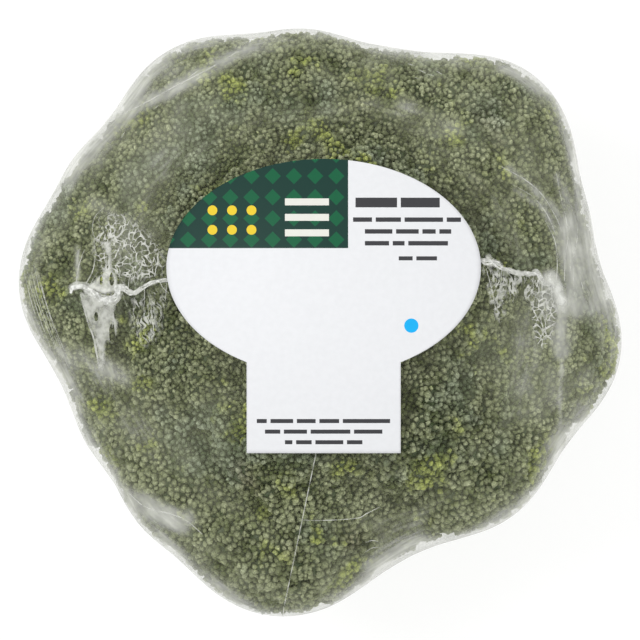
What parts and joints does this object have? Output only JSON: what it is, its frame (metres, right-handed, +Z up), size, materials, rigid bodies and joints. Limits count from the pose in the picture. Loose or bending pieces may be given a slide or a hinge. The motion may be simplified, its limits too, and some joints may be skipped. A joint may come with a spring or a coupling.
{
  "type": "wrapped broccoli head",
  "caption": "Broccoli head with domed florets on a cut stalk, in a shrunk clear film wrap with a paper label lying on the crown.",
  "frame": {"origin": "middle of the stalk's flat cut end, on which the head stands", "axes": "+Z up the stalk to the crown; seen from above, +X runs to the label's right and +Y to its rounded top"},
  "size_m": [0.15, 0.1463, 0.1137],
  "materials": {
    "broccoli": "dull blue-green buds, pale green stalk",
    "film": "hazy clear shrink film with fine wrinkles",
    "paper": "smooth coated white paper with a deep green field"
  },
  "bodies": {
    "root": {"broccoli_head": "broccoli", "wrap_film": "film", "label": "paper"}
  },
  "joints": []
}
